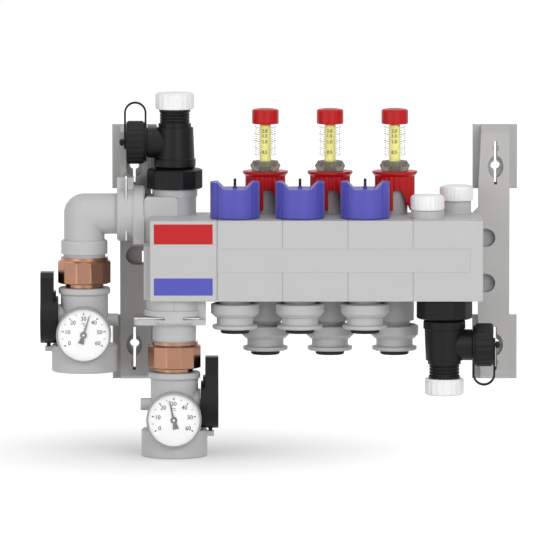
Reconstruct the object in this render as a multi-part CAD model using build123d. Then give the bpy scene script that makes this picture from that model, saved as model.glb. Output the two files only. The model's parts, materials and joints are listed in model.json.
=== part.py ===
from build123d import *
from math import cos, radians, sin
import os

# Heating manifold for three floor circuits, in millimetres.
# X runs along the wall, Y away from the room (the wall is Y = 0), Z up.
# The origin is the centre of the four wall screws.

# Rows and modules
CIRCUITS = 3
PITCH = 50.0              # from one circuit to the next
BLOCK_HEIGHT = 62.0
BLOCK_DEPTH = 77.0
BLOCK_TOP = 34.4          # above the centre of the wall screws
WALL_GAP = 31.0           # from the wall to the back of the block
RETURN_FROM_FRONT = 25.0  # return row behind the front face
ROW_GAP = 40.0            # supply row behind the return row
RETURN_INSET = 13.4       # return valve from its module's left seam
SUPPLY_INSET = 36.7       # flow meter from its module's left seam
LEFT_END = 51.6           # length of the left end piece
RIGHT_END = 53.6
RIM_REACH = 5.0           # rim on the left end's outer side
RIM_SETBACK = 13.0        # behind the front face
SEAM_BEVEL = 0.5

# Clearances
TURN_FIT = 0.08           # radial, round a piece that turns or slides
REST_FIT = 0.05           # radial, between fixed pieces
AIR = 0.4                 # between a moving piece and what it passes

# Front strip and label
STRIP_BOTTOM = -5.1
STRIP_HEIGHT = 18.0
STRIP_DEPTH = 1.0
STRIP_RECESS = 0.2
STRIP_END = 43.9          # reach into the right end piece
LABEL_THICK = 1.2
LABEL_MARGIN = 3.0
FIELD_THICK = 0.3
RED_HEIGHT = 15.4
BLUE_HEIGHT = 13.2
RED_DROP = 2.6            # from the top of the label to the red field
BLUE_RISE = 4.7           # from the foot of the label to the blue field

# Return valves under the blue caps
CAP_R = 19.0
CAP_WALL = 2.4
CAP_HEIGHT = 22.6         # to the disc between the two wings
WING_RISE = 5.1
WING_INNER = 13.4         # inner edge of a wing's flat top
WING_FOOT = 8.6           # where its slope meets the disc
CAP_GROOVE = 0.7
INSERT_THREAD_R = 15.0
INSERT_HEIGHT = 15.0
INSERT_SINK = 10.0        # into the block
INSERT_SINK_R = 11.0
STEM_R = 1.1
STEM_GUIDE_R = 3.0
STEM_TIP = 30.5           # above the block
NUB_R = 1.7               # round the stem, on the cap
NUB_RISE = 1.5
PLUG_R = 8.0
PLUG_THICK = 3.0
CHAMBER_R = 10.0
STROKE = 3.0              # of a return valve's plug

# Flow meters
WHEEL_R = 15.5
WHEEL_WALL = 2.2
WHEEL_FLANGE_R = 17.5
WHEEL_FLANGE = 3.6
WHEEL_TOP = 33.2          # above the block
WHEEL_FOOT = 3.4
WHEEL_RIBS = 24
WHEEL_WINDOWS = 3
WINDOW_RISE = 17.5        # window height above the legs' feet
NECK_R = 10.0
NECK_TOP_R = 9.0          # journal under the sight glass nut
METER_NUT_FLAT = 20.4     # across the flats of the smoked nut
METER_NUT_RISE = 7.6
GLASS_R = 9.0
GLASS_WALL = 1.2
GLASS_TOP = 69.7          # above the block
METER_CAP_R = 10.35
METER_CAP_HEIGHT = 11.3
FLOAT_R = 4.45
FLOAT_LENGTH = 41.0
FLOAT_TRAVEL = 25.0

# Pipe outlets below the modules
OUTLET_NECK_R = 12.1
OUTLET_STEP = 3.4         # block to the top of the cup
CUP_R = 18.5
CUP_WALL = 2.2
CUP_HEIGHT = 10.6
CUP_FLOOR = 4.6
OUTLET_R = 14.1
OUTLET_FLANGE_R = 17.3
OUTLET_FLANGE = 3.6
OUTLET_LENGTH = 19.8      # top of the cup to the foot of the flange
OUTLET_BORE_R = 7.0
PASSAGE_R = 7.5           # inside the block
SEAL_R = 11.1
SEAL_THICK = 3.4
SUPPLY_DROP = 20.5        # supply outlets hang this much lower
SPIGOT_R = 15.1

# Pipe connections on the left
ELBOW_X = -178.4
TEE_X = -108.3
PORT_Z = 34.4             # axis of the elbow's level leg
ELBOW_R = 15.7
ELBOW_COLLAR_R = 17.95
ELBOW_COLLAR_TOP = 14.1
ELBOW_COLLAR_FOOT = 3.5
PIPE_SPIGOT_R = 12.5
SOCKET_R = 21.0
SOCKET_LENGTH = 12.7
SOCKET_X = -152.9         # mouth of the tee's socket
CLIP_AT = 7.3             # supply clip behind the socket's mouth
EAR_TOP = 63.0            # two ears guide the clip's bridge
EAR_HALF = 8.0
TEE_CORNER_FOOT = 12.4    # square corner below the ring
RING_R = 22.0
TEE_NECK_R = 16.6
TEE_LIP_R = 17.5
TEE_TOP = 53.9
TEE_BOX_TOP = 48.8
TEE_BOX_HALF = 20.0       # half depth of the tee's box
TEE_BOX_RIGHT = 2.5       # past the neck's axis
TEE_FLOOR = 13.5
CLIP_THICK = 1.3
CLIP_WIDTH = 34.0
CLIP_REACH = 19.5         # prongs past the pipe's axis
CLIP_BRIDGE = 30.9
CLIP_SLOT = 0.2           # room on each side of the clip
CONNECTOR_NECK_R = 21.4
CONNECTOR_NECK = 8.2
CONNECTOR_COLLAR_R = 23.0
CONNECTOR_COLLAR = 11.0
CONNECTOR_R = 16.8
CLIP_RISE = 5.3           # return clip above the collar's foot
CLIP_HEADROOM = 0.6       # open slot above the return clip
COLLAR_BRIDGE = 7.0       # half width of the wall left in front of the clip
SHELF_RIGHT = 23.8        # shelf under the clip, past the axis
SHELF_ROUND = 6.0
EAR_INNER = 13.3          # ear on the connector's right side
EAR_OUTER = 24.2
EAR_DEPTH = 12.0
BALL_SUPPLY_Z = -48.0
BALL_RETURN_Z = -109.4

# Ball valves, measured from the ball's centre
BALL_R = 14.1
BALL_ROOM_R = 14.3        # chamber round the ball
BALL_BORE_R = 10.0
PORT_R = 15.15            # minor radius of a one inch pipe thread
VALVE_TOP = 25.3
VALVE_RIM_R = 20.0
VALVE_RIM = 4.2
VALVE_R = 18.3
VALVE_FOOT_R = 25.35
VALVE_FOOT_TOP = -19.0
VALVE_FOOT = -39.8
SEAT_GAP = 0.35           # between a seat ring and the ball
SEAT_THICK = 3.2
SPINDLE_R = 4.5
SPINDLE_BOSS_R = 12.0
BLANK_BOSS_R = 4.8
BLANK_BOSS = 26.1         # end of the blank boss opposite the lever
LEVER_FACE = 20.4         # inner face of the lever's hub
LEVER_THICK = 13.5
LEVER_ARM_THICK = 10.1
LEVER_HUB_R = 18.2
LEVER_REACH = 37.0
LEVER_WIDTH = 22.0
SHOULDER_TOP = 22.1       # where the lever's hub meets its arm
SHOULDER_HALF = 7.0
NIB_FOOT = 20.2           # nib above the valve's stop
UNION_R = 21.0            # to the corners of the union nut
UNION_TOP = 48.8
UNION_FOOT = 28.6
UNION_BORE_R = 16.2
TAIL_R = 14.8
NUT_SIDES = 12

# Thermometers
CASE_R = 21.2
CASE_BACK = 18.9          # in front of the valve's axis
CASE_DEPTH = 14.3
DIAL_R = 19.9
DIAL_DROP = 9.1           # below the ball's centre
DIAL_THICK = 0.8
GLASS_THICK = 1.0
POCKET = 3.6              # depth of the case's front recess
POINTER_THICK = 0.6
POINTER_REACH = 15.5
POINTER_TAIL = 7.0
POINTER_TAIL_HALF = 2.4
POINTER_HUB_R = 2.6
SUPPLY_READING = 17.0     # clockwise from the top of the dial, degrees
RETURN_READING = -12.6

# Fill and drain valves, measured from the face they seat on
DRAIN_NUT_R = 22.1
DRAIN_NUT = 15.5
DRAIN_FLARE_R = 16.2
DRAIN_FLARE = 23.0        # end of the flare
DRAIN_BODY_R = 15.3
DRAIN_BODY_TIP_R = 14.3
DRAIN_BODY = 47.5
DRAIN_STEP_R = 12.7
DRAIN_STEP = 50.5
DRAIN_NECK_R = 11.3
DRAIN_LIP_R = 12.1
DRAIN_NECK = 61.3
DRAIN_STUD_R = 9.0
KNOB_R = 15.0
KNOB_HEIGHT = 12.7
BRANCH_AT = 35.8
BRANCH_R = 11.1
HOSE_THREAD_R = 10.0
HOSE_CAP_R = 16.7
HOSE_CAP_NEAR = 23.5      # inner face of the hose cap, from the axis
HOSE_CAP_LENGTH = 13.8
BUTTON_STEM_R = 1.6
BUTTON_R = 2.7
BUTTON_THICK = 3.2
STRAP_THICK = 1.5
STRAP_WIDTH = 5.0
STRAP_RISE = 31.5         # top of the loop, from the branch's axis
STRAP_EYE_R = 5.4
STRAP_RING_R = 15.0
DRAIN_BOTTOM_X = 99.5

# Air vents
VENT_FRONT_X = 86.4
VENT_BACK_X = 109.4
VENT_CAP_R = 13.0
VENT_CAP_HEIGHT = 11.6
VENT_STUD_R = 8.0
VENT_FRONT_R = 12.9
VENT_FRONT_RISE = 6.1
VENT_BACK_R = 11.5
VENT_BACK_RISE = 10.0

# Wall brackets
SCREW_HALF_X = 140.2
SCREW_HALF_Z = 69.4
SCREW_HOLE_R = 3.7
SLIT_WIDTH = 2.2
SLIT_OUTWARD = 19.8       # from the screw's centre towards the rail's end
SLIT_INWARD = 13.9
NOTCH_HALF = 2.3          # shallow notch across the slit
NOTCH_AT = 12.4
NOTCH_LENGTH = 3.2
FOOT_WIDTH = 34.7
FOOT_HEIGHT = 50.0
FOOT_THICK = 4.0
FOOT_UPPER = 75.7         # centres of the two feet
FOOT_LOWER = -73.1
RAIL_OUTER = 10.9         # from the screws' line outwards
RAIL_INNER = 13.0
RAIL_TAPER = 2.2          # the rail narrows by this at its ends
RAIL_WALL = 3.0
RAIL_BACKSET = 5.5        # rail's front behind the block's back
RAIL_SLOPE = 4.6          # height of the sloped end
RING_HALF_X = 7.8
RING_HALF_Z = 10.2
POCKET_DEPTH = 8.0        # keyhole pocket behind the rail's front
RING_WALL = 1.8
SADDLE_REACH = 24.0
SADDLE_THICK = 5.5
SADDLE_FLARE = 6.0
D_HEIGHT = 14.2
D_WIDTH = 13.6
D_DEPTH = 9.0
D_RIGHT = (13.9, -21.4)   # centres of the two recesses in the right rail
D_RIGHT_END = -0.1        # their round end, outwards from the screws' line
D_LEFT = (0.1,)
D_LEFT_END = 6.3
WINDOW_LEFT = (-7.6, -5.9, -6.0, 3.0)  # open slit through the left rail

# Places worked out from the sizes above
BACK_Y = -WALL_GAP
BRACKET_FRONT = BACK_Y + RAIL_BACKSET
FRONT_Y = BACK_Y - BLOCK_DEPTH
RETURN_Y = FRONT_Y + RETURN_FROM_FRONT
SUPPLY_Y = RETURN_Y + ROW_GAP
BLOCK_FOOT = BLOCK_TOP - BLOCK_HEIGHT
FIRST_SEAM = -CIRCUITS * PITCH / 2
LAST_SEAM = FIRST_SEAM + CIRCUITS * PITCH
LEFT_X = FIRST_SEAM - LEFT_END
RIGHT_X = LAST_SEAM + RIGHT_END
RETURNS = [(FIRST_SEAM + n * PITCH + RETURN_INSET, RETURN_Y) for n in range(CIRCUITS)]
SUPPLIES = [(FIRST_SEAM + n * PITCH + SUPPLY_INSET, SUPPLY_Y) for n in range(CIRCUITS)]
LEVER_AIR = LEVER_FACE - AIR


# Shapes that are used again and again
def box(x0, x1, y0, y1, z0, z1):
    return Pos((x0 + x1) / 2, (y0 + y1) / 2, (z0 + z1) / 2) * Box(x1 - x0, y1 - y0, z1 - z0)


def rod(radius, z0, z1):
    return Pos(0, 0, (z0 + z1) / 2) * Cylinder(radius, z1 - z0)


def turned(*outline):
    """A solid turned about Z from an outline of (radius, height) points."""
    face = Plane.XZ * make_face(Polyline(*outline, close=True))
    return revolve(face, Axis.Z)


def ribbed(radius, depth, ribs, z0, z1):
    """A grip with straight ribs all round."""
    quarter = 90.0 / ribs
    points = []
    for n in range(ribs):
        start = 4 * quarter * n
        for step, reach in enumerate((radius, radius, radius - depth, radius - depth)):
            angle = radians(start + step * quarter)
            points.append((reach * cos(angle), reach * sin(angle)))
    return Pos(0, 0, z0) * extrude(make_face(Polyline(*points, close=True)), z1 - z0)


def nut(corner_r, bore_r, z0, z1, bevel):
    """A twelve-sided nut with a flat to the front and turned bevels."""
    outline = Rot(0, 0, 180.0 / NUT_SIDES) * RegularPolygon(corner_r, NUT_SIDES)
    prism = Pos(0, 0, z0) * extrude(outline, z1 - z0)
    envelope = turned((0, z0), (corner_r - bevel, z0), (corner_r, z0 + bevel / 2),
                      (corner_r, z1 - bevel / 2), (corner_r - bevel, z1), (0, z1))
    return prism & envelope - rod(bore_r, z0, z1)


def at_all(places, shape, z=0.0):
    """The same piece at each place, as one group of separate solids."""
    return [Pos(x, y, z) * shape for x, y in places]


# Block: end pieces, modules, strip and label
def block_piece(x0, x1):
    piece = box(x0, x1, FRONT_Y, BACK_Y, BLOCK_FOOT, BLOCK_TOP)
    ends = piece.faces().sort_by(Axis.X)
    return chamfer(ends[0].edges() + ends[-1].edges(), SEAM_BEVEL)


def strip_recess():
    return box(FIRST_SEAM, LAST_SEAM + STRIP_END, FRONT_Y, FRONT_Y + STRIP_DEPTH,
               STRIP_BOTTOM, STRIP_BOTTOM + STRIP_HEIGHT)


def return_passage():
    """Stepped bore of a return valve, from the top of the block to its foot."""
    sink = rod(INSERT_SINK_R + REST_FIT, BLOCK_TOP - INSERT_SINK, BLOCK_TOP)
    chamber = rod(CHAMBER_R, seat_z(), BLOCK_TOP - INSERT_SINK)
    return sink + chamber + rod(PASSAGE_R, BLOCK_FOOT, seat_z())


def supply_passage():
    sink = rod(INSERT_SINK_R + REST_FIT, BLOCK_TOP - INSERT_SINK, BLOCK_TOP)
    return sink + rod(PASSAGE_R, BLOCK_FOOT - SUPPLY_DROP, BLOCK_TOP - INSERT_SINK)


def seat_z():
    """Height of the valve seat that the plug closes on."""
    return BLOCK_TOP - INSERT_SINK - 2 * AIR - PLUG_THICK - STROKE


def circuit_module(n):
    x0 = FIRST_SEAM + n * PITCH
    piece = block_piece(x0, x0 + PITCH) - strip_recess()
    x, y = SUPPLIES[n]
    piece += Pos(x, y, 0) * rod(SPIGOT_R, BLOCK_FOOT - SUPPLY_DROP, BLOCK_FOOT)
    piece -= Pos(x, y, 0) * supply_passage()
    x, y = RETURNS[n]
    return piece - Pos(x, y, 0) * return_passage()


def left_end_block():
    """Carries both pipe connections; its upper back corner makes room for the tee."""
    piece = block_piece(LEFT_X, FIRST_SEAM)
    piece += box(LEFT_X - RIM_REACH, LEFT_X + 1, FRONT_Y + RIM_SETBACK, BACK_Y, BLOCK_FOOT,
                 TEE_FLOOR)
    piece -= tee_foot(AIR / 2)
    socket = Pos(TEE_X, RETURN_Y, 0) * rod(PIPE_SPIGOT_R + REST_FIT, BLOCK_FOOT, BLOCK_FOOT + 12)
    return piece - socket


def right_end_block():
    piece = block_piece(LAST_SEAM, RIGHT_X) - strip_recess()
    spigot = rod(DRAIN_STUD_R, BLOCK_FOOT - DRAIN_NUT + 2 * AIR, BLOCK_FOOT)
    piece += Pos(DRAIN_BOTTOM_X, RETURN_Y, 0) * spigot
    for x, y in ((VENT_FRONT_X, RETURN_Y), (VENT_BACK_X, SUPPLY_Y)):
        piece -= Pos(x, y, 0) * rod(VENT_STUD_R + REST_FIT, BLOCK_TOP - INSERT_SINK, BLOCK_TOP)
    return piece


def cover_strip():
    return box(FIRST_SEAM, LAST_SEAM + STRIP_END, FRONT_Y + STRIP_RECESS, FRONT_Y + STRIP_DEPTH,
               STRIP_BOTTOM, STRIP_BOTTOM + STRIP_HEIGHT)


def label_plate():
    plate = box(LEFT_X, FIRST_SEAM - SEAM_BEVEL, FRONT_Y - LABEL_THICK, FRONT_Y,
                BLOCK_FOOT, BLOCK_TOP)
    plate = chamfer(plate.faces().sort_by(Axis.Y)[0].edges(), SEAM_BEVEL)
    return plate - label_field(BLOCK_TOP - RED_DROP, RED_HEIGHT) \
        - label_field(BLOCK_FOOT + BLUE_RISE + BLUE_HEIGHT, BLUE_HEIGHT)


def label_field(top, height):
    """A colour field let into the label, level with its face."""
    face = FRONT_Y - LABEL_THICK
    return box(LEFT_X + LABEL_MARGIN, FIRST_SEAM - SEAM_BEVEL - LABEL_MARGIN,
               face, face + FIELD_THICK, top - height, top)


# Return valves
def valve_insert():
    """Screwed body under a blue cap, bored for its stem."""
    top = BLOCK_TOP + INSERT_HEIGHT
    body = turned((0, BLOCK_TOP - INSERT_SINK), (INSERT_SINK_R, BLOCK_TOP - INSERT_SINK),
                  (INSERT_SINK_R, BLOCK_TOP), (INSERT_THREAD_R, BLOCK_TOP),
                  (INSERT_THREAD_R, top - 1), (INSERT_THREAD_R - 1, top), (0, top))
    return body - rod(STEM_GUIDE_R + TURN_FIT, BLOCK_TOP - INSERT_SINK, top)


def valve_stem():
    """Pin, guide and plug; the pin shows through the cap."""
    tip = BLOCK_TOP + STEM_TIP
    guide_top = BLOCK_TOP + INSERT_HEIGHT
    plug_top = BLOCK_TOP - INSERT_SINK - AIR
    plug_foot = plug_top - PLUG_THICK
    return turned((0, plug_foot), (PLUG_R, plug_foot), (PLUG_R, plug_top),
                  (STEM_GUIDE_R, plug_top), (STEM_GUIDE_R, guide_top),
                  (STEM_R, guide_top), (STEM_R, tip), (0, tip))


def return_cap():
    """Blue hand cap with two raised wings and a hollow underside."""
    foot = BLOCK_TOP + AIR
    disc = BLOCK_TOP + AIR + CAP_HEIGHT
    top = disc + WING_RISE
    side = 2 * CAP_R
    cap = rod(CAP_R, foot, top)
    notch = make_face(Polyline((-WING_FOOT, disc), (WING_FOOT, disc), (WING_INNER, top),
                               (-WING_INNER, top), close=True))
    cap -= Pos(0, CAP_R, 0) * extrude(Plane.XZ * notch, side)
    cap = chamfer(cap.faces().sort_by(Axis.Z)[0].edges(), SEAM_BEVEL)
    for x in (-WING_INNER, WING_INNER):
        for y in (-1, 1):
            edge_y = y * (CAP_R ** 2 - WING_INNER ** 2) ** 0.5
            groove = Pos(x, edge_y, foot) * Rot(0, 0, 45) * Box(
                CAP_GROOVE, CAP_GROOVE, 2 * (top - foot))
            cap -= groove
    cap += rod(NUB_R, disc, disc + NUB_RISE)
    roof = disc - CAP_WALL
    hollow = rod(CAP_R - CAP_WALL, foot, BLOCK_TOP + 2)
    hollow += rod(INSERT_THREAD_R + TURN_FIT, foot, roof)
    return cap - hollow - rod(STEM_R + TURN_FIT, roof, disc + NUB_RISE)


# Flow meters
def journal_foot():
    """Shoulder that carries the hand wheel's top."""
    return BLOCK_TOP + WHEEL_TOP - WHEEL_FLANGE


def flow_insert():
    """Grey neck with the wheel's journal on top and the float's bore inside."""
    shoulder = journal_foot() - AIR / 2
    top = BLOCK_TOP + WHEEL_TOP + AIR
    body = turned((0, BLOCK_TOP - INSERT_SINK), (INSERT_SINK_R, BLOCK_TOP - INSERT_SINK),
                  (INSERT_SINK_R, BLOCK_TOP), (NECK_R, BLOCK_TOP), (NECK_R, shoulder),
                  (NECK_TOP_R - 1, shoulder), (NECK_TOP_R - 1, top), (0, top))
    well = BLOCK_TOP + GLASS_TOP - FLOAT_LENGTH - FLOAT_TRAVEL - 2 * AIR
    return body - rod(FLOAT_R + TURN_FIT, well, top)


def flow_wheel():
    """Red regulating wheel: flanged top, ribbed skirt, tapered legs below."""
    foot = BLOCK_TOP + WHEEL_FOOT
    top = BLOCK_TOP + WHEEL_TOP
    skirt_top = top - WHEEL_FLANGE
    wheel = ribbed(WHEEL_R, 0.6, WHEEL_RIBS, foot, skirt_top)
    wheel += turned((0, skirt_top), (WHEEL_R, skirt_top), (WHEEL_FLANGE_R, top - 1.6),
                    (WHEEL_FLANGE_R, top), (0, top))
    wheel -= rod(WHEEL_R - WHEEL_WALL, foot, skirt_top)
    wheel -= rod(NECK_TOP_R - 1 + TURN_FIT, skirt_top, top)
    for n in range(WHEEL_WINDOWS):
        wheel -= Rot(0, 0, 360.0 / WHEEL_WINDOWS * n) * wheel_window(foot)
    return wheel


def wheel_window(foot):
    """One window, straight on its left side and slanted on its right."""
    reach = 2 * WHEEL_R
    left = -1.4
    outline = make_face(Polyline((left, foot), (left, foot + WINDOW_RISE - 2),
                                 (left + 6.5, foot + WINDOW_RISE - 2), (left + 13.0, foot),
                                 close=True))
    return extrude(Plane.XZ * outline, reach)


def meter_nut():
    """Smoked six-sided nut that clamps the sight glass."""
    z0 = BLOCK_TOP + WHEEL_TOP + AIR
    z1 = z0 + METER_NUT_RISE
    corner = METER_NUT_FLAT / 2 / cos(radians(30))
    prism = Pos(0, 0, z0) * extrude(RegularPolygon(corner, 6), z1 - z0)
    middle = z0 + METER_NUT_RISE / 2
    envelope = turned((0, z0), (corner - 1.6, z0), (corner, middle), (corner - 2.2, z1), (0, z1))
    bore = rod(GLASS_R + REST_FIT, z1 - GLASS_WALL - 3, z1) + rod(FLOAT_R + AIR, z0, z1)
    return (prism & envelope) - bore


def sight_glass():
    z0 = BLOCK_TOP + WHEEL_TOP + AIR + METER_NUT_RISE - GLASS_WALL - 3 + REST_FIT
    z1 = BLOCK_TOP + GLASS_TOP
    return rod(GLASS_R, z0, z1) - rod(GLASS_R - GLASS_WALL, z0, z1)


def meter_cap():
    z0 = BLOCK_TOP + GLASS_TOP
    z1 = z0 + METER_CAP_HEIGHT
    return turned((0, z0), (METER_CAP_R - 0.6, z0), (METER_CAP_R, z0 + 0.6),
                  (METER_CAP_R, z1 - 1), (METER_CAP_R - 1, z1), (METER_CAP_R / 2, z1 + 0.7),
                  (0, z1 + 1))


def flow_float():
    """Yellow float; its lower end always stays in the insert's bore."""
    z1 = BLOCK_TOP + GLASS_TOP - AIR
    return turned((0, z1 - FLOAT_LENGTH), (FLOAT_R, z1 - FLOAT_LENGTH), (FLOAT_R, z1 - 1),
                  (FLOAT_R - 1, z1), (0, z1))


# Outlets
def outlet_nipple(top):
    """Bored nipple: neck, cup seat, body and lower flange."""
    cup = top - OUTLET_STEP
    floor = cup - CUP_FLOOR
    foot = cup - OUTLET_LENGTH
    outline = [(OUTLET_BORE_R, top), (OUTLET_NECK_R, top), (OUTLET_NECK_R, floor),
               (OUTLET_R, floor - 1), (OUTLET_R, foot + OUTLET_FLANGE),
               (OUTLET_FLANGE_R, foot + OUTLET_FLANGE - 0.8), (OUTLET_FLANGE_R, foot + 0.8),
               (OUTLET_FLANGE_R - 0.8, foot), (OUTLET_BORE_R, foot)]
    return turned(*outline)


def outlet_cup(top):
    """Open-topped ring nut round the nipple's neck."""
    cup = top - OUTLET_STEP
    inner = OUTLET_R + REST_FIT
    foot = cup - CUP_HEIGHT
    floor = cup - CUP_FLOOR - 1
    return turned((CUP_R - CUP_WALL, cup), (CUP_R, cup - 0.8), (CUP_R, foot + 3),
                  (CUP_R - 3, foot), (inner, foot), (inner, floor),
                  (CUP_R - CUP_WALL, floor))


def outlet_seal(top):
    """Black seal ring under the flange."""
    foot = top - OUTLET_STEP - OUTLET_LENGTH
    inner = OUTLET_BORE_R + 1
    return turned((inner, foot), (SEAL_R, foot), (SEAL_R, foot - SEAL_THICK + 0.8),
                  (SEAL_R - 0.8, foot - SEAL_THICK), (inner, foot - SEAL_THICK))


# Pipe connections
def supply_elbow():
    """Moulded elbow from the tee's socket down to the ball valve."""
    level = Pos(ELBOW_X, SUPPLY_Y, PORT_Z) * Sphere(ELBOW_R)
    level += Pos(0, SUPPLY_Y, PORT_Z) * Rot(0, 90, 0) * rod(ELBOW_R, ELBOW_X, SOCKET_X)
    spigot_end = SOCKET_X + SOCKET_LENGTH
    level += Pos(0, SUPPLY_Y, PORT_Z) * Rot(0, 90, 0) * rod(PIPE_SPIGOT_R, SOCKET_X, spigot_end)
    foot = BALL_SUPPLY_Z + UNION_TOP
    leg = rod(ELBOW_R, ELBOW_COLLAR_TOP, PORT_Z)
    leg += turned((0, ELBOW_COLLAR_FOOT), (ELBOW_COLLAR_R, ELBOW_COLLAR_FOOT),
                  (ELBOW_COLLAR_R, ELBOW_COLLAR_TOP - 1), (ELBOW_COLLAR_R - 1, ELBOW_COLLAR_TOP),
                  (0, ELBOW_COLLAR_TOP))
    leg += rod(UNION_BORE_R - REST_FIT, foot - 8, ELBOW_COLLAR_FOOT)
    return level + Pos(ELBOW_X, SUPPLY_Y, 0) * leg


def tee_foot(room):
    """Lower half of the tee, let into the left end block."""
    return box(LEFT_X - RIM_REACH - room, TEE_X + TEE_NECK_R + room, SUPPLY_Y - TEE_BOX_HALF - room,
               BACK_Y + room, TEE_FLOOR - room, BLOCK_TOP + room)


def supply_tee():
    """Socket to the left, neck for the fill valve above, foot in the block."""
    tee = tee_foot(0)
    neck = rod(TEE_NECK_R, BLOCK_TOP, TEE_TOP) + rod(TEE_LIP_R, TEE_TOP - 6, TEE_TOP)
    neck += rod(DRAIN_STUD_R, TEE_TOP, TEE_TOP + DRAIN_NUT - 2 * AIR)
    tee += Pos(TEE_X, SUPPLY_Y, 0) * neck
    arm = box(LEFT_X - RIM_REACH, TEE_X + TEE_BOX_RIGHT, SUPPLY_Y - TEE_BOX_HALF, BACK_Y, BLOCK_TOP,
              TEE_BOX_TOP)
    tee += chamfer(arm.edges().filter_by(Axis.Y).sort_by(Axis.Z)[-2:], 2)
    axis = Pos(0, SUPPLY_Y, PORT_Z) * Rot(0, 90, 0)
    socket_end = SOCKET_X + SOCKET_LENGTH
    ring_end = LEFT_X - RIM_REACH
    tee += axis * turned((0, SOCKET_X), (SOCKET_R - 1, SOCKET_X), (SOCKET_R, SOCKET_X + 1),
                         (SOCKET_R, socket_end), (RING_R, socket_end), (RING_R, ring_end - 1),
                         (RING_R - 1, ring_end), (0, ring_end))
    tee += box(SOCKET_X, socket_end, SUPPLY_Y - EAR_HALF, SUPPLY_Y + EAR_HALF,
               PORT_Z + PIPE_SPIGOT_R + 3, EAR_TOP)
    tee += box(socket_end, ring_end, SUPPLY_Y - RING_R, BACK_Y, TEE_CORNER_FOOT, PORT_Z)
    tee -= axis * rod(PIPE_SPIGOT_R + REST_FIT, SOCKET_X, socket_end)
    behind = box(SOCKET_X, TEE_X + 30, BRACKET_FRONT - AIR, 0, 0, TEE_TOP + 20)
    return tee - behind - clip_slot_supply()


def fork_clip():
    """Spring-steel fork seen flat: two prongs and a bridge."""
    half = CLIP_WIDTH / 2
    gap = PIPE_SPIGOT_R + 2 * REST_FIT
    side = CLIP_THICK / 2
    fork = box(-half, half, -CLIP_REACH, CLIP_BRIDGE, -side, side)
    fork = fillet(fork.edges().filter_by(Axis.Z).sort_by(Axis.Y)[-2:], 3)
    fork -= box(-gap, gap, -CLIP_REACH, 0, -side, side)
    return fork - Cylinder(gap, 4 * CLIP_THICK)


def clip_place_supply():
    """The supply clip drops into the tee's socket from above."""
    return Pos(SOCKET_X + CLIP_AT, SUPPLY_Y, PORT_Z) * Rot(90, 0, 0) * Rot(0, -90, 0)


def clip_place_return():
    """The return clip slides into the connector from its outer side."""
    return Pos(TEE_X, RETURN_Y, return_clip_z()) * Rot(0, 0, 90)


def return_clip_z():
    return BLOCK_FOOT - CONNECTOR_NECK - CONNECTOR_COLLAR + CLIP_RISE


def clip_slot_supply():
    half = CLIP_THICK / 2 + CLIP_SLOT
    middle = SOCKET_X + CLIP_AT
    side = CLIP_WIDTH / 2 + CLIP_SLOT
    return box(middle - half, middle + half, SUPPLY_Y - side, SUPPLY_Y + side,
               PORT_Z - CLIP_REACH - CLIP_SLOT, EAR_TOP)


def return_connector():
    """Straight connector with a slotted collar, a shelf for its clip and an ear."""
    top = BLOCK_FOOT
    collar_top = top - CONNECTOR_NECK
    collar_foot = collar_top - CONNECTOR_COLLAR
    nut_top = BALL_RETURN_Z + UNION_TOP
    thread_r = UNION_BORE_R - REST_FIT
    body = turned((0, top), (CONNECTOR_NECK_R, top), (CONNECTOR_NECK_R, collar_top),
                  (CONNECTOR_COLLAR_R, collar_top), (CONNECTOR_COLLAR_R, collar_foot + 2),
                  (CONNECTOR_COLLAR_R - 2, collar_foot), (CONNECTOR_R, collar_foot),
                  (CONNECTOR_R, nut_top + 1), (thread_r, nut_top + 1),
                  (thread_r, nut_top - 8), (0, nut_top - 8))
    body += rod(PIPE_SPIGOT_R, top, top + 12)
    slot_foot = return_clip_z() - CLIP_THICK / 2 - CLIP_SLOT
    slot_top = return_clip_z() + CLIP_THICK / 2 + CLIP_HEADROOM
    slot = rod(CONNECTOR_COLLAR_R + 1, slot_foot, slot_top)
    slot -= rod(PIPE_SPIGOT_R, slot_foot, slot_top)
    side = CLIP_WIDTH / 2 + CLIP_SLOT
    far = CONNECTOR_COLLAR_R + 1
    slot -= box(-COLLAR_BRIDGE, COLLAR_BRIDGE, -far, -side, slot_foot, slot_top)
    body -= slot
    body += clip_shelf(collar_foot, slot_foot)
    body += box(EAR_INNER, EAR_OUTER, -EAR_DEPTH, EAR_DEPTH, collar_foot, top)
    body -= box(-0.2, 0.2, -far, 0.3 - CONNECTOR_NECK_R, collar_top, top)
    return Pos(TEE_X, RETURN_Y, 0) * body


def clip_shelf(foot, top):
    """Moulded shelf under the return clip, rounded at its outer corners."""
    half = CLIP_WIDTH / 2
    shelf = box(-CLIP_BRIDGE, SHELF_RIGHT, -half, half, foot, top)
    return fillet(shelf.edges().filter_by(Axis.Z).sort_by(Axis.X)[:2], SHELF_ROUND)


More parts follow.
